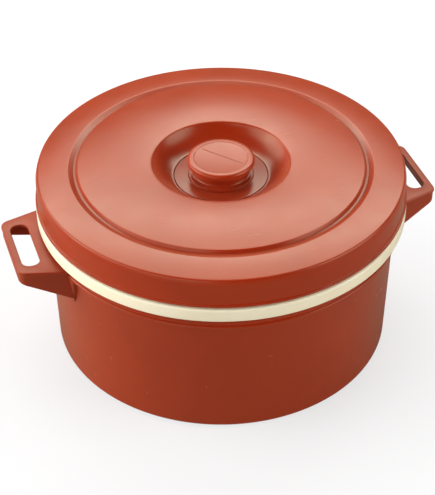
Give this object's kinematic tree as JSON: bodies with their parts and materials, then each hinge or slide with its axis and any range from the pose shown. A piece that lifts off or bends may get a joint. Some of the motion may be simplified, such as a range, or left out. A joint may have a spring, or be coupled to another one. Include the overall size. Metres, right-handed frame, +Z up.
{
  "type": "insulated rice container",
  "caption": "Round double-walled tub for keeping cooked rice hot, with a pale inner pot, tray-shaped side handles and a thick lift-off lid with a sunk centre knob.",
  "frame": {"origin": "on the floor, under the middle of the tub", "axes": "+Z up out of the knob, +X from the middle of the tub to the right-hand handle, +Y away from the front"},
  "size_m": [0.4654, 0.3946, 0.215],
  "materials": {
    "red_polypropylene": "injection-moulded brick-red polypropylene, satin",
    "cream_polypropylene": "injection-moulded cream polypropylene, satin",
    "insulating_foam": "rigid polyurethane foam, foamed in place, not seen",
    "silicone": "translucent white silicone rubber",
    "stainless_steel": "plain stainless steel",
    "brass": "turned brass"
  },
  "bodies": {
    "tub": {"outer_shell": "red_polypropylene", "inner_pot": "cream_polypropylene", "body_insulation": "insulating_foam", "foam_fill_plug": "red_polypropylene", "foam_vent_plug": "red_polypropylene", "handle_right": "red_polypropylene", "handle_left": "red_polypropylene", "handle_screw_1": "stainless_steel", "handle_screw_2": "stainless_steel", "handle_screw_3": "stainless_steel", "handle_screw_4": "stainless_steel", "handle_washer_1": "stainless_steel", "handle_washer_2": "stainless_steel", "handle_washer_3": "stainless_steel", "handle_washer_4": "stainless_steel"},
    "lid": {"lid_shell": "red_polypropylene", "lid_liner": "cream_polypropylene", "lid_insulation": "insulating_foam", "lid_seal": "silicone", "lid_port_plug": "cream_polypropylene", "knob": "red_polypropylene", "knob_insert": "brass", "knob_washer": "stainless_steel", "knob_bolt": "stainless_steel"}
  },
  "joints": [
    {"name": "lid_lift", "type": "slide", "parent": "tub", "child": "lid", "axis": [0, 0, 1], "range_m": [0, 0.2]}
  ]
}
